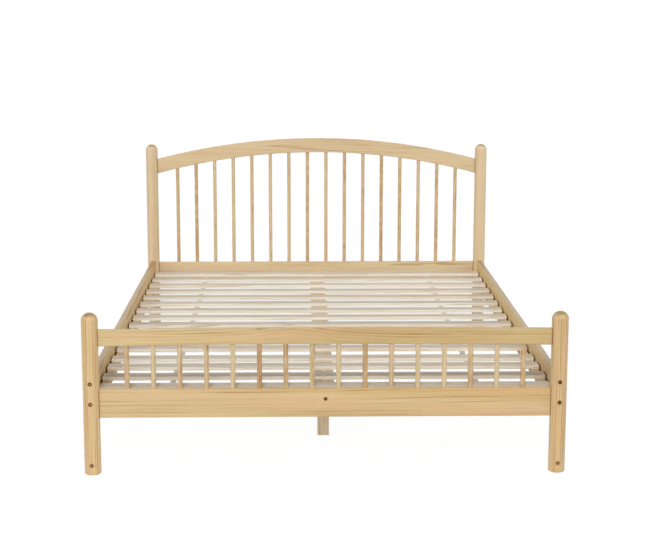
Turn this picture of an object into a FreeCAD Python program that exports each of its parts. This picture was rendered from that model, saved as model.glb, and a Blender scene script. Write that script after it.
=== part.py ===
import FreeCAD, Part

import math
import os
import Sketcher

# Queen-size spindle bed in solid pine. X runs across the bed, Y from the foot to the head and Z up.
# The origin lies on the floor in the middle of the bed. Lengths are in millimetres.

SIZES = (
    # alias, value, what it is
    ("post_spacing_x", 1570, "post axis to post axis, across the bed"),
    ("post_spacing_y", 2100, "post axis to post axis, foot to head"),
    ("post_radius", 28, "round corner post"),
    ("post_cap_rise", 22, "height of the domed post top"),
    ("post_foot_bevel", 2, "bevel round the bottom of a post"),
    ("foot_post_height", 555, "foot post with its dome"),
    ("head_post_height", 896, "head post with its dome"),
    ("post_core", 5, "wood left between two rail housings in a post"),
    ("end_rail_thickness", 22, "rails of the head and foot ends"),
    ("side_rail_thickness", 22, "side rails"),
    ("rail_edge_radius", 2.5, "rounded long edges of the straight rails"),
    ("arch_edge_bevel", 2, "bevelled long edges of the two upper rails"),
    ("deck_height", 290, "top of the slats"),
    ("foot_lower_rail_height", 98.5, "foot lower rail"),
    ("foot_lower_rail_rise", 4, "foot lower rail top above the slats"),
    ("head_lower_rail_height", 94.5, "head lower rail"),
    ("head_lower_rail_rise", 36.5, "head lower rail top above the slats"),
    ("foot_rail_drop", 54, "crown of the foot upper rail below the post tops"),
    ("foot_rail_height", 55, "foot upper rail"),
    ("foot_rail_radius", 60000, "slight crown of the foot upper rail"),
    ("arch_overshoot", 28.4, "top of the head arch above the head posts"),
    ("arch_depth", 66, "head arch rail"),
    ("arch_radius", 2965, "top edge of the head arch rail"),
    ("side_rail_height", 110, "side rail"),
    ("side_rail_rise", 44, "side rail top above the slats"),
    ("spindle_radius", 8.25, "round spindles of both ends"),
    ("spindle_end_space", 121.25, "post axis to the axis of the first spindle"),
    ("socket_depth", 12, "spindle socket in the lower and arched rails"),
    ("foot_socket_depth", 10, "spindle socket under the crown of the foot upper rail"),
    ("slat_width", 54, "bed slat"),
    ("slat_thickness", 13, "bed slat"),
    ("slat_edge_radius", 1.5, "rounded slat edges"),
    ("slat_end_gap", 4, "slat end to side rail"),
    ("foot_slat_gap", 1, "first slat to the foot posts"),
    ("head_slat_gap", 43, "last slat to the head posts"),
    ("loose_slat_shift", 18, "loose slat nearer the foot than its even place"),
    ("ledge_width", 30, "slat ledge"),
    ("ledge_height", 24, "slat ledge"),
    ("ledge_edge_radius", 2, "rounded ledge edges"),
    ("ledge_post_gap", 6, "ledge end to post"),
    ("strap_inset", 247, "slat end to the middle of a webbing strap"),
    ("strap_width", 20, "webbing strap that spaces the slats"),
    ("strap_thickness", 1.2, "webbing strap"),
    ("beam_width", 66, "centre beam"),
    ("beam_height", 38, "centre beam"),
    ("leg_width", 42, "square centre leg"),
    ("leg_edge_radius", 2, "rounded leg edges"),
    ("leg_setback", 420, "post axis to the nearest centre leg"),
    ("stud_radius", 4, "stud between a centre leg and the beam"),
    ("stud_leg_depth", 35, "stud in the leg"),
    ("stud_beam_depth", 25, "stud in the beam"),
    ("bolt_radius", 4, "bolt shanks"),
    ("bolt_head_radius", 7, "heads of the post bolts"),
    ("bolt_head_thickness", 3.5, "bolt heads"),
    ("bolt_socket_size", 5, "hexagon socket across corners, in a bolt head"),
    ("bolt_socket_depth", 2.5, "hexagon socket"),
    ("counterbore_depth", 5, "counterbore for a bolt head, below the post's highest line"),
    ("upper_bolt_drop", 18, "upper side rail bolt below the rail's top"),
    ("bolt_spacing", 70, "upper to lower side rail bolt"),
    ("bolt_tail", 8, "bolt end past the middle of its barrel nut"),
    ("nut_radius", 5, "barrel nut"),
    ("nut_setback", 35, "barrel nut from the end of its rail or beam"),
    ("nut_cover", 3, "wood or air beyond each end of a barrel nut"),
    ("beam_bolt_head_radius", 6.2, "heads of the beam bolts"),
    ("foot_bolt_height", 34, "third bolt of a foot post above the floor"),
    ("foot_bolt_length", 40, "third bolt of a foot post under its head"),
    ("dowel_radius", 5, "dowel between a rail end and its post"),
    ("dowel_rail_depth", 24, "dowel in the rail"),
    ("dowel_post_depth", 8, "dowel in the post"),
    ("lower_dowel_spacing", 32, "two dowels in the end of a lower rail"),
    ("upper_dowel_spacing", 24, "two dowels in the end of an upper rail"),
    ("screw_radius", 2, "ledge screw"),
    ("screw_head_radius", 4, "countersunk head of a ledge screw"),
    ("screw_head_depth", 3, "countersunk head of a ledge screw"),
    ("screw_length", 44, "ledge screw"),
    ("screw_margin", 60, "ledge end to the first screw"),
    ("fit", 0.2, "clearance where a flat piece sits in or on another"),
    ("round_fit", 0.1, "radial clearance of a round piece in its hole"),
    ("bolt_play", 0.4, "radial clearance round a bolt in wood"),
)
SPINDLES = 16
SLATS = 16
LOOSE_SLAT = 4
LEDGE_SCREWS = 8
SIDES = (("left", -1), ("right", 1))
ENDS = (("foot", -1), ("head", 1))

doc = FreeCAD.newDocument("SpindleBed")
sheet = doc.addObject("Spreadsheet::Sheet", "Sizes")
for row, (alias, value, meaning) in enumerate(SIZES, 1):
    sheet.set("A%d" % row, meaning)
    sheet.set("B%d" % row, str(value))
    sheet.setAlias("B%d" % row, alias)
doc.recompute()
nodes = []


# Places that several pieces share, as formulas on the sheet.

def size(name):
    return "Sizes." + name


def sum_of(*terms):
    return "(" + " + ".join(terms) + ")"


def less(first, *rest):
    return "(" + " - ".join((first,) + rest) + ")"


def times(factor, term):
    return "(%s * %s)" % (factor, term)


HALF = 0.5
post_x = times(HALF, size("post_spacing_x"))
post_y = times(HALF, size("post_spacing_y"))
rail_seat = sum_of(times(HALF, size("side_rail_thickness")), size("post_core"))
side_seat = sum_of(times(HALF, size("end_rail_thickness")), size("post_core"))
foot_rail_top = less(size("foot_post_height"), size("foot_rail_drop"))
arch_top = sum_of(size("head_post_height"), size("arch_overshoot"))
foot_lower_top = sum_of(size("deck_height"), size("foot_lower_rail_rise"))
head_lower_top = sum_of(size("deck_height"), size("head_lower_rail_rise"))
side_rail_top = sum_of(size("deck_height"), size("side_rail_rise"))
upper_bolt_z = less(side_rail_top, size("upper_bolt_drop"))
lower_bolt_z = less(upper_bolt_z, size("bolt_spacing"))
slat_bottom = less(size("deck_height"), size("slat_thickness"))
beam_top = less(slat_bottom, size("fit"))
beam_middle = less(beam_top, times(HALF, size("beam_height")))
beam_bottom = less(beam_top, size("beam_height"))
beam_half_length = less(post_y, times(HALF, size("end_rail_thickness")), size("fit"))
rail_half_length = less(post_x, rail_seat, size("fit"))
side_half_length = less(post_y, side_seat, size("fit"))
ledge_half_length = less(post_y, size("post_radius"), size("ledge_post_gap"))
side_inner_x = less(post_x, times(HALF, size("side_rail_thickness")))
slat_half_length = less(side_inner_x, size("slat_end_gap"))
first_slat_y = sum_of(times(-1, post_y), size("post_radius"), size("foot_slat_gap"),
                      times(HALF, size("slat_width")))
last_slat_y = less(post_y, size("post_radius"), size("head_slat_gap"), times(HALF, size("slat_width")))


def spread(number, count, first, last):
    """Formula for one of count evenly spaced places from first to last, both included."""
    share = number / (count - 1)
    return sum_of(times(repr(1 - share), first), times(repr(share), last))


def spindle_x(number):
    reach = less(post_x, size("spindle_end_space"))
    return spread(number, SPINDLES, times(-1, reach), reach)


def arc_height(top, radius, x):
    """Height at x of an arc whose highest point lies at height top."""
    return sum_of(less(top, radius), "sqrt(%s^2 - %s^2)" % (radius, x))


# Ways to make and place the pieces.

ALONG_X = FreeCAD.Rotation(FreeCAD.Vector(0, 1, 0), 90)
ALONG_Y = FreeCAD.Rotation(FreeCAD.Vector(1, 0, 0), -90)
ALONG_Z = FreeCAD.Rotation()


def bind(thing, **formulas):
    for name, formula in formulas.items():
        thing.setExpression(name, formula)
    return thing


def place(thing, x="0", y="0", z="0", turn=ALONG_Z):
    thing.Placement = FreeCAD.Placement(FreeCAD.Vector(), turn)
    for axis, formula in zip("xyz", (x, y, z)):
        thing.setExpression(".Placement.Base." + axis, formula)
    return thing


def keep(thing, node):
    """Give a finished sub-part its name."""
    thing.Label = node
    nodes.append(thing)
    return thing


def rod(name, radius, length, x="0", y="0", z="0", turn=ALONG_Z):
    """A cylinder that starts at the given point and runs along its turned Z axis."""
    thing = bind(doc.addObject("Part::Cylinder", name), Radius=radius, Height=length)
    return place(thing, x, y, z, turn)


def fuse(name, things):
    joined = doc.addObject("Part::MultiFuse", name)
    joined.Shapes = things
    return joined


def group(name, things):
    together = doc.addObject("Part::Compound", name)
    together.Links = things
    return together


def cut(name, base, tool):
    result = doc.addObject("Part::Cut", name)
    result.Base = base
    result.Tool = tool
    return result


def copy_of(master, name, x, y, z, turn=ALONG_Z):
    twin = doc.addObject("App::Link", name)
    twin.LinkedObject = master
    return place(twin, x, y, z, turn)


def sketch_on(body, role, name):
    plane = [item for item in body.Origin.OriginFeatures if item.Role == role][0]
    sketch = body.newObject("Sketcher::SketchObject", name)
    sketch.AttachmentSupport = (plane, [""])
    sketch.MapMode = "FlatFace"
    return sketch


def constrain(sketch, name, formula, kind, *where):
    """Add a dimension and bind it to a formula."""
    index = sketch.addConstraint(Sketcher.Constraint(kind, *where))
    sketch.renameConstraint(index, name)
    sketch.setExpression("Constraints." + name, formula)


def ease_edges(body, pad, kind, formula, wanted):
    """Fillet or chamfer the edges of a pad that wanted picks."""
    doc.recompute()
    names = ["Edge%d" % number for number, edge in enumerate(pad.Shape.Edges, 1) if wanted(edge)]
    eased = body.newObject("PartDesign::" + kind, "EasedEdges")
    eased.Base = (pad, names)
    eased.setExpression("Radius" if kind == "Fillet" else "Size", formula)


ORIGIN_POINT = (-1, 1)
START, END, MIDDLE = range(1, 4)
V_AXIS = -2


def bar(name, role, width, height, length, edge_radius):
    """A straight bar: a rectangle on an origin plane, padded both ways, with rounded long edges."""
    body = doc.addObject("PartDesign::Body", name)
    sketch = sketch_on(body, role, "Section")
    wide, high = 18, 10
    corners = [FreeCAD.Vector(across * wide / 2, up * high / 2, 0)
               for across, up in ((-1, -1), (1, -1), (1, 1), (-1, 1))]
    for number in range(4):
        sketch.addGeometry(Part.LineSegment(corners[number], corners[(number + 1) % 4]))
    for number in range(4):
        sketch.addConstraint(Sketcher.Constraint("Coincident", number, END, (number + 1) % 4, START))
        kind = "Horizontal" if number % 2 == 0 else "Vertical"
        sketch.addConstraint(Sketcher.Constraint(kind, number))
    sketch.addConstraint(Sketcher.Constraint("Symmetric", 0, START, 1, END, *ORIGIN_POINT))
    constrain(sketch, "width", width, "DistanceX", 0, START, 0, END, wide)
    constrain(sketch, "height", height, "DistanceY", 1, START, 1, END, high)
    pad = body.newObject("PartDesign::Pad", "Bar")
    pad.Profile = sketch
    pad.Midplane = True
    pad.setExpression("Length", length)
    doc.recompute()
    normal = sketch.Placement.Rotation.multVec(FreeCAD.Vector(0, 0, 1))

    def runs_along(edge):
        return abs(edge.tangentAt(edge.FirstParameter).dot(normal)) > 0.99

    ease_edges(body, pad, "Fillet", edge_radius, runs_along)
    return body


def arched_bar(name, radius, depth, half_length, thickness, edge_bevel):
    """A bar between two concentric arcs. Its own origin is the highest point of the upper arc."""
    body = doc.addObject("PartDesign::Body", name)
    sketch = sketch_on(body, "XZ_Plane", "Outline")
    top, under = 4000, 3900
    centre = FreeCAD.Vector(0, -top, 0)
    upper = Part.Circle(centre, FreeCAD.Vector(0, 0, 1), top)
    lower = Part.Circle(centre, FreeCAD.Vector(0, 0, 1), under)
    lean = 0.2
    first, last = math.pi / 2 - lean, math.pi / 2 + lean
    sketch.addGeometry(Part.ArcOfCircle(upper, first, last))
    sketch.addGeometry(Part.ArcOfCircle(lower, first, last))
    for turn in (first, last):
        sketch.addGeometry(Part.LineSegment(
            centre + FreeCAD.Vector(math.cos(turn) * under, math.sin(turn) * under, 0),
            centre + FreeCAD.Vector(math.cos(turn) * under, math.sin(turn) * top, 0)))
    for line, tip in ((2, START), (3, END)):
        sketch.addConstraint(Sketcher.Constraint("Coincident", line, START, 1, tip))
        sketch.addConstraint(Sketcher.Constraint("Coincident", line, END, 0, tip))
        sketch.addConstraint(Sketcher.Constraint("Vertical", line))
    sketch.addConstraint(Sketcher.Constraint("Coincident", 0, MIDDLE, 1, MIDDLE))
    sketch.addConstraint(Sketcher.Constraint("PointOnObject", 0, MIDDLE, V_AXIS))
    sketch.addConstraint(Sketcher.Constraint("Symmetric", 0, START, 0, END, V_AXIS))
    constrain(sketch, "radius", radius, "Radius", 0, top)
    constrain(sketch, "under_radius", less(radius, depth), "Radius", 1, under)
    constrain(sketch, "centre_drop", radius, "DistanceY", 0, MIDDLE, -1, 1, top)
    constrain(sketch, "span", times(2, half_length), "DistanceX", 0, END, 0, START, 1500)
    pad = body.newObject("PartDesign::Pad", "Plank")
    pad.Profile = sketch
    pad.Midplane = True
    pad.setExpression("Length", thickness)
    ease_edges(body, pad, "Chamfer", edge_bevel, lambda edge: edge.Curve.TypeId == "Part::GeomCircle")
    return body


def rail_family(name, make, side_clearance):
    """The same bar twice: as the rail, and larger all round by the clearance, to cut its housings."""
    return make(name, "0"), make(name + "_housing", side_clearance)


def bolt(name, head_radius, length):
    """A socket bolt with the underside of its head at the origin and its shank along +Z."""
    head = rod(name + "_head", head_radius, size("bolt_head_thickness"),
               z=times(-1, size("bolt_head_thickness")))
    shank = rod(name + "_shank", size("bolt_radius"), length)
    socket = doc.addObject("Part::Prism", name + "_socket")
    bind(socket, Circumradius=times(HALF, size("bolt_socket_size")), Height=size("bolt_socket_depth"))
    place(socket, z=times(-1, size("bolt_head_thickness")))
    return cut(name, fuse(name + "_blank", [head, shank]), socket)


def bolt_hole(name, head_radius, length):
    """Counterbore and clearance hole for a bolt, placed like the bolt."""
    deep = sum_of(size("counterbore_depth"), size("post_radius"))
    bore = rod(name + "_bore", sum_of(head_radius, size("bolt_play")), deep, z=times(-1, deep))
    hole = rod(name + "_hole", sum_of(size("bolt_radius"), size("bolt_play")),
               sum_of(length, size("fit")))
    return fuse(name, [bore, hole])


FACING_HEAD = ALONG_Y
FACING_FOOT = FreeCAD.Rotation(FreeCAD.Vector(1, 0, 0), 90)


def inward(end):
    return FACING_HEAD if end < 0 else FACING_FOOT


# Rails of the two ends, each with the cutter for its housings in the posts.

def end_rail(name, height, top):
    def make(label, clearance):
        around = times(2, clearance)
        body = bar(label, "YZ_Plane", sum_of(size("end_rail_thickness"), around), sum_of(height, around),
                   times(2, sum_of(rail_half_length, clearance)),
                   sum_of(size("rail_edge_radius"), clearance))
        return place(body, z=less(top, times(HALF, height)))
    return rail_family(name, make, size("fit"))


def upper_rail(name, radius, depth, top):
    def make(label, clearance):
        around = times(2, clearance)
        body = arched_bar(label, sum_of(radius, clearance), sum_of(depth, around),
                          sum_of(rail_half_length, clearance), sum_of(size("end_rail_thickness"), around),
                          size("arch_edge_bevel"))
        return place(body, z=sum_of(top, clearance))
    return rail_family(name, make, size("fit"))


rails = {
    "foot_upper": upper_rail("FootUpper", size("foot_rail_radius"), size("foot_rail_height"),
                             foot_rail_top),
    "foot_lower": end_rail("FootLower", size("foot_lower_rail_height"), foot_lower_top),
    "head_arch": upper_rail("HeadArch", size("arch_radius"), size("arch_depth"), arch_top),
    "head_lower": end_rail("HeadLower", size("head_lower_rail_height"), head_lower_top),
}
END_OF = {"foot_upper": -1, "foot_lower": -1, "head_arch": 1, "head_lower": 1}
for key, pieces in rails.items():
    for piece in pieces:
        piece.setExpression(".Placement.Base.y", times(END_OF[key], post_y))


# Dowels in the rail ends.

def mid_height(top, radius, depth):
    """Height of the middle of an arched rail where it enters its posts."""
    return arc_height(less(top, times(HALF, depth)), less(radius, times(HALF, depth)), rail_half_length)


DOWEL_ROWS = {
    "foot_upper": (mid_height(foot_rail_top, size("foot_rail_radius"), size("foot_rail_height")),
                   "upper_dowel_spacing"),
    "foot_lower": (less(foot_lower_top, times(HALF, size("foot_lower_rail_height"))),
                   "lower_dowel_spacing"),
    "head_arch": (mid_height(arch_top, size("arch_radius"), size("arch_depth")),
                  "upper_dowel_spacing"),
    "head_lower": (less(head_lower_top, times(HALF, size("head_lower_rail_height"))),
                   "lower_dowel_spacing"),
}
dowel_length = sum_of(size("dowel_rail_depth"), size("fit"), size("dowel_post_depth"))
dowels, dowel_holes = [], {}
for key, (middle, spacing) in DOWEL_ROWS.items():
    dowel_holes[key] = []
    for side_name, side in SIDES:
        for level in (-1, 1):
            name = "Dowel_%s_%s_%d" % (key, side_name, level)
            middle_x = times(side, sum_of(rail_half_length, size("fit"), size("dowel_post_depth"),
                                          times(-HALF, dowel_length)))
            z = sum_of(middle, times(level * HALF, size(spacing)))
            y = times(END_OF[key], post_y)
            dowels.append(rod(name, size("dowel_radius"), dowel_length,
                              less(middle_x, times(HALF, dowel_length)), y, z, ALONG_X))
            hole_length = sum_of(dowel_length, times(2, size("fit")))
            hole_radius = sum_of(size("dowel_radius"), size("round_fit"))
            dowel_holes[key].append(rod(name + "_hole", hole_radius, hole_length,
                                        less(middle_x, times(HALF, hole_length)), y, z, ALONG_X))
keep(group("RailDowels", dowels), "rail_dowels")


# Spindles and their sockets.

def spindle(name, x, y, low, high):
    """A round spindle between two socket floors, and the cutter for both sockets."""
    piece = rod(name, size("spindle_radius"), less(high, low, times(2, size("fit"))), x, y,
                sum_of(low, size("fit")))
    socket = rod(name + "_socket", sum_of(size("spindle_radius"), size("round_fit")), less(high, low),
                 x, y, low)
    return piece, socket


head_spindles, head_sockets, foot_spindles, foot_sockets = [], [], [], []
for number in range(SPINDLES):
    x = spindle_x(number)
    arch_under = arc_height(less(arch_top, size("arch_depth")),
                            less(size("arch_radius"), size("arch_depth")), x)
    piece, socket = spindle("HeadSpindle%02d" % (number + 1), x, post_y,
                            less(head_lower_top, size("socket_depth")),
                            sum_of(arch_under, size("socket_depth")))
    head_spindles.append(piece)
    head_sockets.append(socket)
    foot_under = less(foot_rail_top, size("foot_rail_height"))
    piece, socket = spindle("FootSpindle%02d" % (number + 1), x, times(-1, post_y),
                            less(foot_lower_top, size("socket_depth")),
                            sum_of(foot_under, size("foot_socket_depth")))
    foot_spindles.append(piece)
    foot_sockets.append(socket)
for number, piece in enumerate(head_spindles, 1):
    keep(piece, "head_spindle_%02d" % number)
keep(group("FootSpindles", foot_spindles), "foot_spindles")
socket_rows = {-1: group("FootSockets", foot_sockets), 1: group("HeadSockets", head_sockets)}


# Bolts and barrel nuts that hold the side rails and the centre beam.

head_seat = less(size("post_radius"), size("counterbore_depth"))
side_bolt_length = sum_of(head_seat, side_seat, size("fit"), size("nut_setback"), size("bolt_tail"))
beam_bolt_seat = less(times(HALF, size("end_rail_thickness")), size("counterbore_depth"))
beam_bolt_length = sum_of(beam_bolt_seat, times(HALF, size("end_rail_thickness")), size("fit"),
                          size("nut_setback"), size("bolt_tail"))
side_bolt = bolt("SideBolt", size("bolt_head_radius"), side_bolt_length)
side_bolt_hole = bolt_hole("SideBoltHole", size("bolt_head_radius"), side_bolt_length)
beam_bolt = bolt("BeamBolt", size("beam_bolt_head_radius"), beam_bolt_length)
beam_bolt_hole = bolt_hole("BeamBoltHole", size("beam_bolt_head_radius"), beam_bolt_length)
foot_bolt = bolt("FootBolt", size("bolt_head_radius"), size("foot_bolt_length"))
foot_bolt_hole = bolt_hole("FootBoltHole", size("bolt_head_radius"), size("foot_bolt_length"))


def barrel_nut(name, length):
    """A barrel nut along Z, centred on the origin, with its thread along Y."""
    barrel = rod(name + "_barrel", size("nut_radius"), length, z=times(-HALF, length))
    through = times(2, sum_of(size("nut_radius"), size("fit")))
    thread = rod(name + "_thread", sum_of(size("bolt_radius"), size("round_fit")), through,
                 y=times(-HALF, through), turn=ALONG_Y)
    return cut(name, barrel, thread)


def nut_hole(name, depth):
    """Hole for a barrel nut along Z, with its mouth past the origin plane."""
    return rod(name, sum_of(size("nut_radius"), size("round_fit")), sum_of(depth, size("fit")),
               z=times(-1, size("fit")))


side_nut = barrel_nut("SideNut", less(size("side_rail_thickness"), times(2, size("nut_cover"))))
side_nut_hole = nut_hole("SideNutHole", less(size("side_rail_thickness"), size("nut_cover")))
beam_nut = barrel_nut("BeamNut", less(size("beam_height"), times(2, size("nut_cover"))))
beam_nut_hole = nut_hole("BeamNutHole", less(size("beam_height"), size("nut_cover")))

side_bolts, side_nuts = [], []
side_bolt_holes, side_nut_holes, foot_bolts, foot_bolt_holes = {}, {-1: [], 1: []}, [], {}
for side_name, side in SIDES:
    x = times(side, post_x)
    outward = ALONG_X if side > 0 else FreeCAD.Rotation(FreeCAD.Vector(0, 1, 0), -90)
    for end_name, end in ENDS:
        seat_y = times(end, sum_of(post_y, head_seat))
        nut_y = times(end, less(side_half_length, size("nut_setback")))
        corner = (end, side)
        side_bolt_holes[corner] = []
        for level, z in (("Upper", upper_bolt_z), ("Lower", lower_bolt_z)):
            tag = "_%s_%s_%s" % (level, end_name, side_name)
            side_bolts.append(copy_of(side_bolt, "SideBolt" + tag, x, seat_y, z, inward(end)))
            side_nuts.append(copy_of(side_nut, "SideNut" + tag, x, nut_y, z, ALONG_X))
            side_bolt_holes[corner].append(
                copy_of(side_bolt_hole, "SideBoltHole" + tag, x, seat_y, z, inward(end)))
            side_nut_holes[side].append(
                copy_of(side_nut_hole, "SideNutHole" + tag, times(side, side_inner_x), nut_y, z, outward))
    seat_y = times(-1, sum_of(post_y, head_seat))
    foot_bolts.append(copy_of(foot_bolt, "FootBolt_" + side_name, x, seat_y, size("foot_bolt_height"),
                              FACING_HEAD))
    foot_bolt_holes[side] = copy_of(foot_bolt_hole, "FootBoltHole_" + side_name, x, seat_y,
                                    size("foot_bolt_height"), FACING_HEAD)
keep(group("SideRailBolts", side_bolts), "side_rail_bolts")
keep(group("SideRailBarrelNuts", side_nuts), "side_rail_barrel_nuts")
keep(group("FootPostBolts", foot_bolts), "foot_post_bolts")

beam_bolts, beam_nuts, beam_nut_holes, beam_bolt_holes = [], [], [], {}
for end_name, end in ENDS:
    seat_y = times(end, sum_of(post_y, beam_bolt_seat))
    nut_y = times(end, less(beam_half_length, size("nut_setback")))
    beam_bolts.append(copy_of(beam_bolt, "BeamBolt_" + end_name, "0", seat_y, beam_middle, inward(end)))
    beam_nuts.append(copy_of(beam_nut, "BeamNut_" + end_name, "0", nut_y, beam_middle))
    beam_bolt_holes[end] = copy_of(beam_bolt_hole, "BeamBoltHole_" + end_name, "0", seat_y, beam_middle,
                                   inward(end))
    beam_nut_holes.append(copy_of(beam_nut_hole, "BeamNutHole_" + end_name, "0", nut_y, beam_bottom))
keep(group("BeamBolts", beam_bolts), "beam_bolts")
keep(group("BeamBarrelNuts", beam_nuts), "beam_barrel_nuts")


# Side rails.

def side_rail(side_name, side):
    def make(label, clearance):
        around = times(2, clearance)
        body = bar(label, "XZ_Plane", sum_of(size("side_rail_thickness"), around),
                   sum_of(size("side_rail_height"), around), times(2, sum_of(side_half_length, clearance)),
                   sum_of(size("rail_edge_radius"), clearance))
        return place(body, x=times(side, post_x),
                     z=less(side_rail_top, times(HALF, size("side_rail_height"))))
    return rail_family("Side" + side_name.capitalize(), make, size("fit"))


screw_holes = {-1: [], 1: []}
side_rails = {side: side_rail(side_name, side) for side_name, side in SIDES}


# Ledge screws go from the inner face of the ledge into the side rail.

countersink = doc.addObject("Part::Cone", "ScrewHead")
bind(countersink, Radius1=size("screw_head_radius"), Radius2=size("screw_radius"),
     Height=size("screw_head_depth"))
shank = rod("ScrewShank", size("screw_radius"), size("screw_length"))
screw = fuse("LedgeScrew", [countersink, shank])
pilot_radius = sum_of(size("screw_radius"), size("round_fit"))
wide_sink = doc.addObject("Part::Cone", "ScrewHeadHole")
bind(wide_sink, Radius1=sum_of(size("screw_head_radius"), size("fit")), Radius2=pilot_radius,
     Height=sum_of(size("screw_head_depth"), size("fit")))
pilot = rod("ScrewPilot", pilot_radius, sum_of(size("screw_length"), size("fit")))
screw_hole = fuse("ScrewHole", [wide_sink, pilot])
ledge_inner_x = less(side_inner_x, size("fit"), size("ledge_width"))
ledge_middle_z = less(slat_bottom, size("fit"), times(HALF, size("ledge_height")))
ledge_screws = []
for side_name, side in SIDES:
    outward = ALONG_X if side > 0 else FreeCAD.Rotation(FreeCAD.Vector(0, 1, 0), -90)
    reach = less(ledge_half_length, size("screw_margin"))
    for number in range(LEDGE_SCREWS):
        y = spread(number, LEDGE_SCREWS, times(-1, reach), reach)
        tag = "_%s_%d" % (side_name, number + 1)
        ledge_screws.append(copy_of(screw, "LedgeScrew" + tag, times(side, ledge_inner_x), y,
                                    ledge_middle_z, outward))
        screw_holes[side].append(copy_of(screw_hole, "ScrewHole" + tag, times(side, ledge_inner_x), y,
                                         ledge_middle_z, outward))
keep(group("LedgeScrews", ledge_screws), "ledge_screws")


# Posts: turned blanks with the housings, dowel holes and bolt holes cut in.

def post_blank(name, height, x, y):
    """A turned post: half its outline, with a domed top, spun round its axis."""
    body = doc.addObject("PartDesign::Body", name)
    sketch = sketch_on(body, "XZ_Plane", "HalfOutline")
    bevel, radius, shoulder, top = 2, 28, 500, 522
    outline = [(0, 0), (radius - bevel, 0), (radius, bevel), (radius, shoulder)]
    points = [FreeCAD.Vector(across, up, 0) for across, up in outline]
    for first, last in zip(points, points[1:]):
        sketch.addGeometry(Part.LineSegment(first, last))
    drop = (radius ** 2 + (top - shoulder) ** 2) / (2 * (top - shoulder))
    dome = Part.Circle(FreeCAD.Vector(0, top - drop, 0), FreeCAD.Vector(0, 0, 1), drop)
    sketch.addGeometry(Part.ArcOfCircle(dome, math.asin((shoulder - top + drop) / drop), math.pi / 2))
    sketch.addGeometry(Part.LineSegment(FreeCAD.Vector(0, top, 0), FreeCAD.Vector(0, 0, 0)))
    for joint in ((0, END, 1), (1, END, 2), (2, END, 3), (3, END, 4), (4, END, 0)):
        sketch.addConstraint(Sketcher.Constraint("Coincident", *joint, START))
    sketch.addConstraint(Sketcher.Constraint("Coincident", 0, START, *ORIGIN_POINT))
    sketch.addConstraint(Sketcher.Constraint("Horizontal", 0))
    sketch.addConstraint(Sketcher.Constraint("Vertical", 2))
    sketch.addConstraint(Sketcher.Constraint("Vertical", 4))
    sketch.addConstraint(Sketcher.Constraint("PointOnObject", 3, MIDDLE, V_AXIS))
    constrain(sketch, "radius", size("post_radius"), "DistanceX", *ORIGIN_POINT, 2, END, radius)
    constrain(sketch, "bevel_across", size("post_foot_bevel"), "DistanceX", 0, END, 1, END, bevel)
    constrain(sketch, "bevel_up", size("post_foot_bevel"), "DistanceY", 0, END, 1, END, bevel)
    constrain(sketch, "shoulder", less(height, size("post_cap_rise")), "DistanceY", *ORIGIN_POINT, 2, END,
              shoulder)
    constrain(sketch, "height", height, "DistanceY", *ORIGIN_POINT, 3, END, top)
    turned = body.newObject("PartDesign::Revolution", "Turned")
    turned.Profile = sketch
    turned.ReferenceAxis = (sketch, ["V_Axis"])
    turned.Angle = 360
    return place(body, x, y)


RAILS_AT = {-1: ("foot_upper", "foot_lower"), 1: ("head_arch", "head_lower")}
for end_name, end in ENDS:
    for side_name, side in SIDES:
        name = end_name.capitalize() + "Post" + side_name.capitalize()
        blank = post_blank(name + "Blank", size(end_name + "_post_height"), times(side, post_x),
                           times(end, post_y))
        cutters = [side_rails[side][1]] + side_bolt_holes[(end, side)]
        for key in RAILS_AT[end]:
            cutters += [rails[key][1]] + dowel_holes[key]
        if end < 0:
            cutters.append(foot_bolt_holes[side])
        keep(cut(name, blank, fuse(name + "Cutters", cutters)), "%s_post_%s" % (end_name, side_name))

NODE_OF = {"foot_upper": "foot_upper_rail", "foot_lower": "foot_lower_rail",
           "head_arch": "head_arch_rail", "head_lower": "head_lower_rail"}
for key, node in NODE_OF.items():
    cutters = [socket_rows[END_OF[key]]] + dowel_holes[key]
    if key in ("foot_lower", "head_lower"):
        cutters.append(beam_bolt_holes[END_OF[key]])
    blank = rails[key][0]
    keep(cut(blank.Name + "Rail", blank, fuse(blank.Name + "Cutters", cutters)), node)

for side_name, side in SIDES:
    blank = side_rails[side][0]
    cutters = side_bolt_holes[(-1, side)] + side_bolt_holes[(1, side)]
    cutters += side_nut_holes[side] + screw_holes[side]
    keep(cut(blank.Name + "Rail", blank, fuse(blank.Name + "Cutters", cutters)), "side_rail_" + side_name)
    ledge = bar("Ledge" + side_name.capitalize(), "XZ_Plane", size("ledge_width"), size("ledge_height"),
                times(2, ledge_half_length), size("ledge_edge_radius"))
    place(ledge, times(side, sum_of(ledge_inner_x, times(HALF, size("ledge_width")))), "0", ledge_middle_z)
    keep(cut(ledge.Name + "Drilled", ledge, group(ledge.Name + "Holes", screw_holes[side])),
         "slat_ledge_" + side_name)


# Centre beam on three legs.

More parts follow.
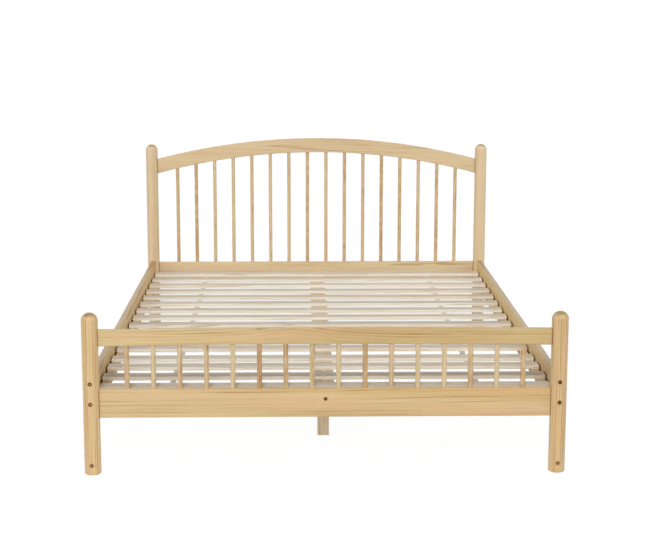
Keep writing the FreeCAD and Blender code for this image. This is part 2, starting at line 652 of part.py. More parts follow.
beam = place(bar("Beam", "XZ_Plane", size("beam_width"), size("beam_height"), times(2, beam_half_length),
                 size("rail_edge_radius")), z=beam_middle)
stud_length = sum_of(size("stud_leg_depth"), size("fit"), size("stud_beam_depth"))
leg_reach = less(post_y, size("leg_setback"))
studs, stud_holes = [], []
LEGS = ("foot", "middle", "head")
for number, leg_name in enumerate(LEGS):
    y = spread(number, len(LEGS), times(-1, leg_reach), leg_reach)
    height = less(beam_bottom, size("fit"))
    stud_low = less(height, size("stud_leg_depth"))
    studs.append(rod("LegStud_" + leg_name, size("stud_radius"), stud_length, "0", y, stud_low))
    hole = rod("LegStudHole_" + leg_name, sum_of(size("stud_radius"), size("round_fit")),
               sum_of(stud_length, times(2, size("fit"))), "0", y, less(stud_low, size("fit")))
    stud_holes.append(hole)
    leg = bar("Leg" + leg_name.capitalize(), "XY_Plane", size("leg_width"), size("leg_width"), height,
              size("leg_edge_radius"))
    place(leg, "0", y, times(HALF, height))
    keep(cut(leg.Name + "Drilled", leg, hole), "centre_leg_" + leg_name)
keep(group("LegStuds", studs), "leg_studs")
beam_cutters = list(beam_bolt_holes.values()) + beam_nut_holes + stud_holes
keep(cut("BeamDrilled", beam, fuse("BeamCutters", beam_cutters)), "centre_beam")


# Slats on the ledges, spaced by two webbing straps underneath. One has slipped towards the foot.

for number in range(SLATS):
    slat = bar("Slat%02d" % (number + 1), "YZ_Plane", size("slat_width"), size("slat_thickness"),
               times(2, slat_half_length), size("slat_edge_radius"))
    y = spread(number, SLATS, first_slat_y, last_slat_y)
    if number + 1 == LOOSE_SLAT:
        y = less(y, size("loose_slat_shift"))
    place(slat, "0", y, less(size("deck_height"), times(HALF, size("slat_thickness"))))
    keep(slat, "slat_%02d" % (number + 1))

for side_name, side in SIDES:
    strap = doc.addObject("Part::Box", "Strap" + side_name.capitalize())
    bind(strap, Length=size("strap_width"), Height=size("strap_thickness"),
         Width=sum_of(less(last_slat_y, first_slat_y), size("slat_width")))
    middle_x = times(side, less(slat_half_length, size("strap_inset")))
    place(strap, less(middle_x, times(HALF, size("strap_width"))),
          less(first_slat_y, times(HALF, size("slat_width"))),
          less(slat_bottom, size("fit"), size("strap_thickness")))
    keep(strap, "slat_strap_" + side_name)

doc.recompute()

# Every object is checked before anything is written.
for thing in doc.Objects:
    if "Invalid" in thing.State or "Error" in thing.State:
        raise RuntimeError("%s failed: %s" % (thing.Label, thing.State))
    if thing.TypeId == "Part::Cut" and not thing.Shape.Volume < thing.Base.Shape.Volume - 1:
        raise RuntimeError("%s cuts nothing" % thing.Label)
for node in nodes:
    if node.Shape.isNull() or not node.Shape.isValid():
        raise RuntimeError("%s has no valid shape" % node.Label)

os.makedirs("parts", exist_ok=True)
for node in nodes:
    node.Shape.exportStep("parts/%s.step" % node.Label)
    box = node.Shape.BoundBox
    print("%-22s %2d solids %10.0f mm3  x %7.1f %7.1f  y %7.1f %7.1f  z %6.1f %6.1f" % (
        node.Label, len(node.Shape.Solids), node.Shape.Volume,
        box.XMin, box.XMax, box.YMin, box.YMax, box.ZMin, box.ZMax))
print(len(nodes), "nodes")
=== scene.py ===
import math
import random

import bmesh
import bpy
from mathutils import Matrix, Vector


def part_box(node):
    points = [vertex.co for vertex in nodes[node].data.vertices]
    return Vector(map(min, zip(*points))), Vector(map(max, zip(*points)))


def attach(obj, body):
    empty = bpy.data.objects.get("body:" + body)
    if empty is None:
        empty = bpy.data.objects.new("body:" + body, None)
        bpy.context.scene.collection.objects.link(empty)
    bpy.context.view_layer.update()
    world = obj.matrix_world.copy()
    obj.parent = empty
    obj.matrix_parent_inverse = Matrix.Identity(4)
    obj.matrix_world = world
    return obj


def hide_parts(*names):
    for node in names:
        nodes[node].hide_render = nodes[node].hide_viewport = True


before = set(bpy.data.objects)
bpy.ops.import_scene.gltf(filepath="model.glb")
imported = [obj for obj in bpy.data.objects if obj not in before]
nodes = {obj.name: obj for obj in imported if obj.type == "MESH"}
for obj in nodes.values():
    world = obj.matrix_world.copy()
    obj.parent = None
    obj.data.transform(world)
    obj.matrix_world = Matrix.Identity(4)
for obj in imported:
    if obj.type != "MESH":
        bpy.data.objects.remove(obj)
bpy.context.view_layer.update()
scene = bpy.context.scene
scene.view_settings.view_transform = "Standard"
print("frame loaded:", len(nodes), "nodes")

# Camera at the photograph's place

view = {
    "place": (-0.0943, -5.598, 1.5878),
    "downDegrees": 9.35,
    "rightDegrees": 1.16,
    "rollDegrees": 0.05,
    "lens": 77.51,
    "sensorWidth": 36.0,
    "shiftY": -0.0739,
}


def setCamera(view):
    data = bpy.data.cameras.new("bedCamera")
    data.lens = view["lens"]
    data.sensor_fit = "HORIZONTAL"
    data.sensor_width = view["sensorWidth"]
    data.shift_y = view["shiftY"]
    data.clip_end = 200
    camera = bpy.data.objects.new("bedCamera", data)
    turn = Matrix.Rotation(math.radians(-view["rightDegrees"]), 4, "Z")
    turn @= Matrix.Rotation(math.radians(90 - view["downDegrees"]), 4, "X")
    turn @= Matrix.Rotation(math.radians(view["rollDegrees"]), 4, "Z")
    camera.matrix_world = Matrix.Translation(view["place"]) @ turn
    scene.collection.objects.link(camera)
    scene.camera = camera


setCamera(view)
print("camera set")

# Small helpers for shader nodes. A value is a number, a tuple or another node's socket.


def toLinear(screenColour):
    # colours below are written as they look on screen, 0 to 255
    linear = []
    for part in screenColour:
        part /= 255
        linear.append(part / 12.92 if part <= 0.04045 else ((part + 0.055) / 1.055) ** 2.4)
    return (*linear, 1.0)


def feed(tree, socket, value):
    if isinstance(value, bpy.types.NodeSocket):
        tree.links.new(value, socket)
    else:
        socket.default_value = value


def maths(tree, operation, *values, clamp=False):
    node = tree.nodes.new("ShaderNodeMath")
    node.operation = operation
    node.use_clamp = clamp
    for socket, value in zip(node.inputs, values):
        feed(tree, socket, value)
    return node.outputs[0]


def vectorMaths(tree, operation, *values, result="Vector"):
    node = tree.nodes.new("ShaderNodeVectorMath")
    node.operation = operation
    for socket, value in zip(node.inputs, values):
        feed(tree, socket, value)
    return node.outputs[result]


def noise(tree, place, stretch, detail=2.0, roughness=0.5, result="Fac"):
    # stretch is how many noise cells go into a metre along each axis
    node = tree.nodes.new("ShaderNodeTexNoise")
    feed(tree, node.inputs["Vector"], vectorMaths(tree, "MULTIPLY", place, stretch))
    node.inputs["Scale"].default_value = 1.0
    node.inputs["Detail"].default_value = detail
    node.inputs["Roughness"].default_value = roughness
    return node.outputs[result]


def ease(tree, value, low, high, outLow=0.0, outHigh=1.0):
    node = tree.nodes.new("ShaderNodeMapRange")
    node.interpolation_type = "SMOOTHSTEP"
    for name, part in (("Value", value), ("From Min", low), ("From Max", high),
                       ("To Min", outLow), ("To Max", outHigh)):
        feed(tree, node.inputs[name], part)
    return node.outputs["Result"]


def mixColour(tree, share, first, second, kind="MIX"):
    node = tree.nodes.new("ShaderNodeMix")
    node.data_type = "RGBA"
    node.blend_type = kind
    feed(tree, node.inputs[0], share)
    feed(tree, node.inputs[6], first)
    feed(tree, node.inputs[7], second)
    return node.outputs[2]


def joinThree(tree, x, y, z):
    node = tree.nodes.new("ShaderNodeCombineXYZ")
    for socket, value in zip(node.inputs, (x, y, z)):
        feed(tree, socket, value)
    return node.outputs[0]


def randomNumber(tree, value):
    node = tree.nodes.new("ShaderNodeTexWhiteNoise")
    node.noise_dimensions = "1D"
    feed(tree, node.inputs["W"], value)
    return node.outputs["Value"]


def newGroup(name, inputs, outputs):
    group = bpy.data.node_groups.new(name, "ShaderNodeTree")
    for socketName, kind, value in inputs:
        socket = group.interface.new_socket(socketName, in_out="INPUT", socket_type="NodeSocket" + kind)
        socket.default_value = value
    for socketName, kind in outputs:
        group.interface.new_socket(socketName, in_out="OUTPUT", socket_type="NodeSocket" + kind)
    entry = group.nodes.new("NodeGroupInput")
    return group, entry.outputs, group.nodes.new("NodeGroupOutput").inputs


def newMaterial(name):
    material = bpy.data.materials.new(name)
    material.use_nodes = True
    return material, material.node_tree, material.node_tree.nodes["Principled BSDF"]


def useGroup(tree, group, **values):
    node = tree.nodes.new("ShaderNodeGroup")
    node.node_tree = group
    for name, value in values.items():
        feed(tree, node.inputs[name], value)
    return node.outputs


def bumpInto(tree, shader, height, distance, strength=1.0):
    node = tree.nodes.new("ShaderNodeBump")
    node.inputs["Distance"].default_value = distance
    node.inputs["Strength"].default_value = strength
    feed(tree, node.inputs["Height"], height)
    feed(tree, shader.inputs["Normal"], node.outputs["Normal"])


# Sawn pine as a solid: rings round a pith that runs along X and wanders, with fibres along it.
# Each triple is in noise cells per metre, along the grain first.

pineSawn = {
    "ringWander": (0.55, 2.6, 2.6),
    "ringRipple": (5.0, 38.0, 38.0),
    "fibre": (6.0, 330.0, 330.0),
    "fineFibre": (24.0, 1300.0, 1300.0),
    "resinDash": (42.0, 900.0, 900.0),
    "broadTone": (0.8, 16.0, 16.0),
    "flushTone": (1.5, 24.0, 24.0),
    "toneMottle": (8.0, 40.0, 40.0),
    "lineFade": (3.5, 85.0, 85.0),
    "seedStep": (3.7, 1.3),  # how far apart two boards are cut from the pattern, along and across
    "sweepSteepness": 6.0,
    "rippleShare": 0.8,  # in ring widths
    "lateStart": 0.25, "lateFull": 0.85, "lateEnd": 0.88,  # where in a ring its late wood lies
    "palestRing": 0.2,
    "fadeRange": (0.3, 1.4),  # how far a ring line fades and deepens along the grain
    "mottleRange": (0.45, 1.55),
    "dashDepth": 0.22,
    "fibreRoughness": 0.12, "lateRoughness": -0.05, "lateRelief": 0.6,
}


def makePineGrain(sawn):
    group, given, out = newGroup("pineGrain", [
        ("Place", "Vector", (0, 0, 0)), ("Pith", "Vector", (0, 0.02, 0.04)), ("Seed", "Float", 0),
        ("RingWidth", "Float", 0.006), ("Wander", "Float", 0.02), ("Sweep", "Float", 0),
        ("SweepPlace", "Float", 0), ("Early", "Color", (1, 1, 1, 1)), ("Late", "Color", (0.5, 0.4, 0.2, 1)),
        ("Flush", "Color", (0.8, 0.5, 0.3, 1)), ("Deep", "Color", (0.87, 0.7, 0.54, 1)),
        ("Tone", "Float", 0), ("Figure", "Float", 0.8), ("FibreTone", "Float", 0.3),
        ("BroadTone", "Float", 0.5), ("FlushTone", "Float", 0.4), ("BandCount", "Float", 1),
        ("Shine", "Float", 0.45),
    ], [("Colour", "Color"), ("Roughness", "Float"), ("Height", "Float")])
    stepAlong, stepAcross = sawn["seedStep"]
    seedShift = joinThree(group, maths(group, "MULTIPLY", given["Seed"], stepAlong),
                          maths(group, "MULTIPLY", given["Seed"], stepAcross), 0.0)
    place = vectorMaths(group, "ADD", given["Place"], seedShift)

    # distance from the pith, which sways slowly and rises in one long sweep
    sway = vectorMaths(group, "SUBTRACT", noise(group, place, sawn["ringWander"], 1.0, 0.4, "Color"),
                       (0.5, 0.5, 0.5))
    swayScale = group.nodes.new("ShaderNodeVectorMath")
    swayScale.operation = "SCALE"
    feed(group, swayScale.inputs[0], sway)
    feed(group, swayScale.inputs["Scale"], maths(group, "MULTIPLY", given["Wander"], 4.0))
    parts = group.nodes.new("ShaderNodeSeparateXYZ")
    feed(group, parts.inputs[0], given["Place"])
    fromSweep = maths(group, "SUBTRACT", parts.outputs["X"], given["SweepPlace"])
    fromSweep = maths(group, "MULTIPLY", fromSweep, sawn["sweepSteepness"])
    bulge = maths(group, "DIVIDE", given["Sweep"],
                  maths(group, "ADD", maths(group, "MULTIPLY", fromSweep, fromSweep), 1.0))
    fromPith = vectorMaths(group, "SUBTRACT", given["Place"], given["Pith"])
    fromPith = vectorMaths(group, "SUBTRACT", fromPith, joinThree(group, 0.0, 0.0, bulge))
    fromPith = vectorMaths(group, "ADD", fromPith, swayScale.outputs[0])
    across = vectorMaths(group, "MULTIPLY", fromPith, (0, 1, 1))
    radius = vectorMaths(group, "LENGTH", across, result="Value")
    ripple = maths(group, "SUBTRACT", noise(group, place, sawn["ringRipple"], 2.0), 0.5)
    ringCount = maths(group, "DIVIDE", radius, given["RingWidth"])
    ringCount = maths(group, "MULTIPLY_ADD", ripple, sawn["rippleShare"], ringCount)

    # each ring darkens slowly into its late wood and ends sharply, some rings more than others
    phase = maths(group, "FRACT", ringCount)
    late = maths(group, "MULTIPLY", ease(group, phase, sawn["lateStart"], sawn["lateFull"]),
                 ease(group, phase, sawn["lateEnd"], 1.0, 1.0, 0.0))
    ringTone = randomNumber(group, maths(group, "ADD", maths(group, "FLOOR", ringCount), given["Seed"]))
    late = maths(group, "MULTIPLY", late, ease(group, ringTone, 0.0, 1.0, sawn["palestRing"], 1.0))
    lineFade = ease(group, noise(group, place, sawn["lineFade"], 2.0), 0.38, 0.62, *sawn["fadeRange"])
    late = maths(group, "MULTIPLY", late, lineFade)

    fibre = noise(group, place, sawn["fibre"], 3.0, 0.6)
    fineFibre = noise(group, place, sawn["fineFibre"], 2.0, 0.6)
    fibres = maths(group, "SUBTRACT", maths(group, "MULTIPLY_ADD", fineFibre, 0.5, fibre), 0.75)
    bandStretch = joinThree(group, 1.0, given["BandCount"], given["BandCount"])
    bandPlace = vectorMaths(group, "MULTIPLY", place, bandStretch)
    broad = maths(group, "SUBTRACT", noise(group, bandPlace, sawn["broadTone"], 2.0), 0.5)
    lateShare = maths(group, "MULTIPLY", late, given["Figure"])
    lateShare = maths(group, "MULTIPLY_ADD", fibres, given["FibreTone"], lateShare)
    lateShare = maths(group, "MULTIPLY_ADD", broad, given["BroadTone"], lateShare, clamp=True)
    colour = mixColour(group, lateShare, given["Early"], given["Late"])
    flush = ease(group, noise(group, bandPlace, sawn["flushTone"], 1.5), 0.45, 0.68)
    colour = mixColour(group, maths(group, "MULTIPLY", flush, given["FlushTone"]), colour, given["Flush"])
    dashes = ease(group, noise(group, place, sawn["resinDash"], 1.0), 0.66, 0.74, 0.0, sawn["dashDepth"])
    colour = mixColour(group, dashes, colour, mixColour(group, 0.5, given["Late"], (0, 0, 0, 1)))
    mottle = ease(group, noise(group, place, sawn["toneMottle"], 2.0), 0.36, 0.64, *sawn["mottleRange"])
    tone = maths(group, "MULTIPLY", given["Tone"], mottle, clamp=True)
    colour = mixColour(group, tone, colour, given["Deep"], "MULTIPLY")
    feed(group, out["Colour"], colour)
    roughness = maths(group, "MULTIPLY_ADD", late, sawn["lateRoughness"], given["Shine"])
    feed(group, out["Roughness"], maths(group, "MULTIPLY_ADD", fibres, sawn["fibreRoughness"], roughness))
    feed(group, out["Height"], maths(group, "MULTIPLY_ADD", late, sawn["lateRelief"], fibres))
    return group


pineGrain = makePineGrain(pineSawn)

# What each sort of piece is sawn from. Pith is where the tree's middle lies, across the board, and
# heart a stretch of darker heartwood.

lacqueredPine = {
    "early": (209, 185, 139), "late": (156, 110, 52), "flush": (208, 172, 132), "deep": (232, 213, 193),
    "toneSpread": 0.1, "ringWidth": 0.0085, "wander": 0.018, "sweep": 0.0, "sweepPlace": 0.0,
    "shorten": 1.0, "figure": 0.6, "fibreTone": 0.5, "broadTone": 0.7, "flushTone": 0.5,
    "shine": 0.48, "gloss": 0.2, "coat": 0.03, "pith": (0.03, 0.05), "relief": 0.00006,
    "bandCount": 1.0, "heart": None,
}
headPine = {**lacqueredPine, "early": (212, 192, 154), "late": (158, 116, 62), "flush": (210, 178, 144)}
footPost = {
    **lacqueredPine, "early": (209, 180, 132), "flush": (214, 172, 124), "ringWidth": 0.0042,
    "wander": 0.005, "pith": (0.008, 0.05), "figure": 1.1, "broadTone": 1.1, "flushTone": 0.7,
    "bandCount": 3.0, "gloss": 0.45, "coat": 0.3,
}
footPostRight = {**footPost, "early": (202, 177, 130), "pith": (-0.01, -0.045), "flushTone": 0.4}
headPost = {
    **headPine, "early": (209, 188, 150), "ringWidth": 0.0042, "wander": 0.005, "pith": (0.01, 0.05),
    "figure": 0.5, "bandCount": 3.0, "gloss": 0.45, "coat": 0.3,
}
footUpperRail = {
    **lacqueredPine, "ringWidth": 0.0075, "wander": 0.006, "pith": (0.02, -0.04), "sweep": 0.03,
    "sweepPlace": -0.12, "figure": 0.7, "fibreTone": 0.6,
    "heart": {"along": (1, 0, 0), "start": -0.35, "end": 0.15, "tint": (240, 238, 228)},
}
footLowerRail = {
    **lacqueredPine, "early": (206, 181, 137), "ringWidth": 0.0042, "wander": 0.008, "pith": (0.03, 0.06),
    "figure": 0.65, "flushTone": 0.9,
    "heart": {"along": (0.04, 0, 1), "start": 0.022, "end": 0.038, "tint": (247, 241, 226)},
}
archRail = {**headPine, "early": (208, 186, 149), "figure": 0.6, "ringWidth": 0.006}
headLowerRail = {**headPine, "figure": 0.5}
sideRail = {**lacqueredPine, "early": (223, 195, 141), "flushTone": 0.3}
spindle = {
    **headPine, "early": (206, 187, 151), "ringWidth": 0.004, "wander": 0.005, "pith": (0.03, 0.02),
    "toneSpread": 0.25, "shorten": 4.0, "broadTone": 1.0,
}
slat = {
    "early": (240, 232, 217), "late": (202, 180, 148), "flush": (232, 212, 192), "deep": (232, 220, 205),
    "toneSpread": 0.25, "ringWidth": 0.006, "wander": 0.02, "sweep": 0.0, "sweepPlace": 0.0,
    "shorten": 1.0, "figure": 0.75, "fibreTone": 0.5, "broadTone": 0.6, "flushTone": 0.4,
    "shine": 0.75, "gloss": 0.0, "coat": 0.0, "pith": (0.02, 0.03), "relief": 0.00012,
    "bandCount": 1.0, "heart": None,
}
ledge = {**slat, "early": (226, 206, 174), "late": (200, 168, 122)}
beam = {**slat, "early": (233, 217, 190), "late": (200, 172, 130)}
dowelBeech = {**slat, "early": (214, 180, 140), "late": (190, 150, 108), "ringWidth": 0.002}

# The spindles that stand out as darker and redder, counted from the left, 0 pale to 1 deep
spindleTones = {
    "foot": {1: 0.3, 6: 1.0, 7: 0.35, 10: 0.85, 14: 0.4, 16: 0.55},
    "head": {1: 0.3, 2: 0.9, 8: 0.35, 10: 0.3, 12: 0.75, 13: 0.35, 15: 0.3},
}

grainTurns = {
    "X": Matrix.Identity(3),
    "Y": Matrix.Rotation(math.radians(-90), 3, "Z"),
    "Z": Matrix.Rotation(math.radians(90), 3, "Y"),
}

# Painted shade, each band from start to end along an axis, with the colour that it multiplies in: where the
# end rails meet the posts, in the gaps at the slat ends, on the ledges beside the slats, and along the side
# rails' top edge, which gets little light from above
paintedShadeBands = {
    "railEnd": {"axis": "X", "start": 0.7535, "end": 0.7585, "tint": (186, 160, 128)},
    "slatEnd": {"axis": "X", "start": 0.7685, "end": 0.7695, "tint": (120, 86, 62)},
    "besideSlats": {"axis": "X", "start": 0.7660, "end": 0.7680, "tint": (92, 64, 44)},
    "railTop": {"axis": "Z", "start": 0.3320, "end": 0.3336, "tint": (218, 214, 218)},
}


# paints a band of shade into the colour
def paintShadeBand(tree, colour, place, paintedShade):
    parts = tree.nodes.new("ShaderNodeSeparateXYZ")
    feed(tree, parts.inputs[0], place)
    reach = maths(tree, "ABSOLUTE", parts.outputs[paintedShade["axis"]])
    inside = ease(tree, reach, paintedShade["start"], paintedShade["end"])
    return mixColour(tree, inside, colour, toLinear(paintedShade["tint"]), "MULTIPLY")


endGrain = {"tint": (206, 194, 168), "start": 0.5, "full": 0.95}  # by how far a face looks along the grain


def tintEndGrain(tree, colour, grain, look):
    normal = tree.nodes.new("ShaderNodeNewGeometry").outputs["Normal"]
    along = [1.0 if axis == grain else 0.0 for axis in "XYZ"]
    facing = maths(tree, "ABSOLUTE", vectorMaths(tree, "DOT_PRODUCT", normal, along, result="Value"))
    inside = ease(tree, facing, look["start"], look["full"])
    return mixColour(tree, inside, colour, toLinear(look["tint"]), "MULTIPLY")


heartWaver = (5, 40, 40)


def tintHeart(tree, colour, boardPlace, heart):
    # darker heartwood sets in across the board, from start to end along a direction
    reach = vectorMaths(tree, "DOT_PRODUCT", boardPlace, heart["along"], result="Value")
    waver = maths(tree, "SUBTRACT", noise(tree, boardPlace, heartWaver, 2.0), 0.5)
    width = heart["end"] - heart["start"]
    reach = maths(tree, "MULTIPLY_ADD", waver, width, reach)
    return mixColour(tree, ease(tree, reach, heart["start"], heart["end"]), colour,
                     toLinear(heart["tint"]), "MULTIPLY")


lacquerRoughness = 0.35


def pineMaterial(name, look, grain, centre, seed, tone=0.0, paintedShade=None, spread=None):
    # grain is the axis that the fibres follow; the board's centre becomes the pattern's origin
    material, tree, shader = newMaterial(name)
    place = tree.nodes.new("ShaderNodeTexCoord").outputs["Object"]
    draw = random.Random(seed)
    scale = draw.uniform(0.85, 1.2)
    tone += draw.uniform(0, look["toneSpread"])
    boardPlace = place
    if spread:
        boardPlace, seed, tone = spread(tree, place)
    mapping = tree.nodes.new("ShaderNodeMapping")
    turn = grainTurns[grain]
    mapping.inputs["Rotation"].default_value = turn.to_euler()
    mapping.inputs["Location"].default_value = -(turn @ Vector(centre))
    mapping.inputs["Scale"].default_value = [look["shorten"] if axis == grain else 1.0 for axis in "XYZ"]
    feed(tree, mapping.inputs["Vector"], boardPlace)
    pithY, pithZ = look["pith"]
    made = useGroup(tree, pineGrain, Place=mapping.outputs["Vector"], Seed=seed, Tone=tone,
                    Pith=(0, pithY * scale, pithZ * scale),
                    RingWidth=look["ringWidth"] * scale, Wander=look["wander"],
                    Sweep=look["sweep"], SweepPlace=look["sweepPlace"],
                    Early=toLinear(look["early"]), Late=toLinear(look["late"]),
                    Flush=toLinear(look["flush"]), Deep=toLinear(look["deep"]),
                    Figure=look["figure"], FibreTone=look["fibreTone"],
                    BroadTone=look["broadTone"], FlushTone=look["flushTone"],
                    BandCount=look["bandCount"], Shine=look["shine"])
    colour = tintEndGrain(tree, made["Colour"], grain, endGrain)
    if look["heart"]:
        colour = tintHeart(tree, colour, mapping.outputs["Vector"], look["heart"])
    # a band of painted shade, where one is asked for
    if paintedShade:
        colour = paintShadeBand(tree, colour, place, paintedShadeBands[paintedShade])
    feed(tree, shader.inputs["Base Color"], colour)
    feed(tree, shader.inputs["Roughness"], made["Roughness"])
    shader.inputs["Specular IOR Level"].default_value = look["gloss"]
    shader.inputs["Coat Weight"].default_value = look["coat"]
    shader.inputs["Coat Roughness"].default_value = lacquerRoughness
    bumpInto(tree, shader, made["Height"], look["relief"])
    return material


def spreadFootSpindles(tree, place):
    # all foot spindles are one node: each gets its own piece of the pattern and its own tone
    low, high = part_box("foot_spindles")
    thick = high.y - low.y
    pitch = (high.x - low.x - thick) / (spindleCount - 1)
    parts = tree.nodes.new("ShaderNodeSeparateXYZ")
    feed(tree, parts.inputs[0], place)
    steps = maths(tree, "DIVIDE", maths(tree, "SUBTRACT", parts.outputs["X"], low.x + thick / 2), pitch)
    number = maths(tree, "ROUND", steps)
    ownX = maths(tree, "MULTIPLY", maths(tree, "SUBTRACT", steps, number), pitch)
    ownX = maths(tree, "ADD", ownX, (low.x + high.x) / 2)
    tone = maths(tree, "MULTIPLY", randomNumber(tree, number), spindle["toneSpread"])
    for counted, extra in spindleTones["foot"].items():
        isThis = maths(tree, "COMPARE", number, counted - 1, 0.5)
        tone = maths(tree, "MULTIPLY_ADD", isThis, extra, tone)
    return joinThree(tree, ownX, parts.outputs["Y"], parts.outputs["Z"]), number, tone


def dress(node, material):
    slots = nodes[node].data.materials
    slots.clear()
    slots.append(material)


spindleCount = sum(node.startswith("head_spindle_") for node in nodes)
# the side rails, ledges, slats and end rails each get a band of painted shade
boards = {}  # node: look, grain axis and what else its material needs
for node in sorted(nodes):
    if node == "foot_post_left":
        boards[node] = (footPost, "Z", {})
    elif node == "foot_post_right":
        boards[node] = (footPostRight, "Z", {})
    elif node.startswith("head_post_"):
        boards[node] = (headPost, "Z", {})
    elif node in ("side_rail_left", "side_rail_right"):
        boards[node] = (sideRail, "Y", {"paintedShade": "railTop"})
    elif node.startswith("slat_ledge"):
        boards[node] = (ledge, "Y", {"paintedShade": "besideSlats"})
    elif node == "centre_beam":
        boards[node] = (beam, "Y", {})
    elif node.startswith("centre_leg"):
        boards[node] = (beam, "Z", {})
    elif node.startswith("head_spindle_"):
        extra = spindleTones["head"].get(int(node[-2:]), 0.0)
        boards[node] = (spindle, "Z", {"tone": extra})
    elif node == "foot_spindles":
        boards[node] = (spindle, "Z", {"spread": spreadFootSpindles})
    elif node.startswith("slat_") and not node.startswith("slat_strap"):
        boards[node] = (slat, "X", {"paintedShade": "slatEnd"})
    elif node == "rail_dowels":
        boards[node] = (dowelBeech, "X", {})
endRails = {"foot_upper_rail": footUpperRail, "foot_lower_rail": footLowerRail,
            "head_arch_rail": archRail, "head_lower_rail": headLowerRail}
# the end rails get painted shade where they meet the posts
for node, look in endRails.items():
    boards[node] = (look, "X", {"paintedShade": "railEnd"})
for seed, (node, (look, grain, extras)) in enumerate(boards.items(), 1):
    low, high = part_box(node)
    dress(node, pineMaterial(node, look, grain, (low + high) / 2, seed, **extras))
print("pine on", len(boards), "nodes")

# Metal

metalFinishes = {
    "darkBronze": {"light": (116, 80, 38), "dark": (70, 44, 18), "roughness": 0.42, "metallic": 0.6},
    # a painted highlight: the light inside of a bolt's socket
    "highlightBronze": {"light": (232, 194, 142), "dark": (176, 134, 84), "roughness": 0.36, "metallic": 0.8},
    "agedBrass": {"light": (164, 126, 80), "dark": (116, 82, 46), "roughness": 0.4, "metallic": 0.7},
    "zincPlate": {"light": (196, 196, 190), "dark": (150, 150, 148), "roughness": 0.34, "metallic": 0.9},
}
metalMottle = {"cells": (420, 420, 420), "roughness": 0.2, "relief": 0.00005}


def metalMaterial(name, finish, spots):
    material, tree, shader = newMaterial(name)
    place = tree.nodes.new("ShaderNodeTexCoord").outputs["Object"]
    mottle = noise(tree, place, spots["cells"], 4.0, 0.6)
    dark, light = toLinear(finish["dark"]), toLinear(finish["light"])
    feed(tree, shader.inputs["Base Color"], mixColour(tree, ease(tree, mottle, 0.3, 0.7), dark, light))
    least = finish["roughness"] - spots["roughness"] / 2
    feed(tree, shader.inputs["Roughness"], maths(tree, "MULTIPLY_ADD", mottle, spots["roughness"], least))
    shader.inputs["Metallic"].default_value = finish["metallic"]
    bumpInto(tree, shader, mottle, spots["relief"])
    return material


metals = {name: metalMaterial(name, finish, metalMottle) for name, finish in metalFinishes.items()}
for node in ("side_rail_barrel_nuts", "beam_barrel_nuts", "leg_studs", "ledge_screws"):
    dress(node, metals["zincPlate"])
print("metal on the nuts, studs and screws")

# New pieces: each is built by bmesh operators in its own place


def finishPiece(shape, name, materials, replaced=None, flat=False):
    bmesh.ops.recalc_face_normals(shape, faces=shape.faces)
    mesh = bpy.data.meshes.new(name)
    shape.to_mesh(mesh)
    shape.free()
    for material in materials:
        mesh.materials.append(material)
    if not flat:
        mesh.shade_smooth()
    piece = bpy.data.objects.new(name, mesh)
    scene.collection.objects.link(piece)
    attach(piece, "root")
    if replaced:
        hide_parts(replaced)
    return piece


def solidBoxes(node):
    # the lowest and highest corner of each separate solid in a node
    shape = bmesh.new()
    shape.from_mesh(nodes[node].data)
    bmesh.ops.remove_doubles(shape, verts=shape.verts, dist=1e-6)
    boxes, seen = [], set()
    for start in shape.verts:
        if start in seen:
            continue
        seen.add(start)
        waiting, corners = [start], []
        while waiting:
            vert = waiting.pop()
            corners.append(vert.co.copy())
            for edge in vert.link_edges:
                other = edge.other_vert(vert)
                if other not in seen:
                    seen.add(other)
                    waiting.append(other)
        boxes.append((Vector(map(min, zip(*corners))), Vector(map(max, zip(*corners)))))
    shape.free()
    return boxes


# Bolts with a rounded rim, a hexagon socket and a cut thread

bolt = {
    "headThick": 0.0035, "rimRound": 0.0009, "shankRadius": 0.004, "socketAcross": 0.005,
    "socketDeep": 0.0025, "socketLead": 0.0004, "threadLength": 0.018, "threadPitch": 0.00125,
    "threadDeep": 0.0006, "tipBevel": 0.0012, "steps": 36,
}


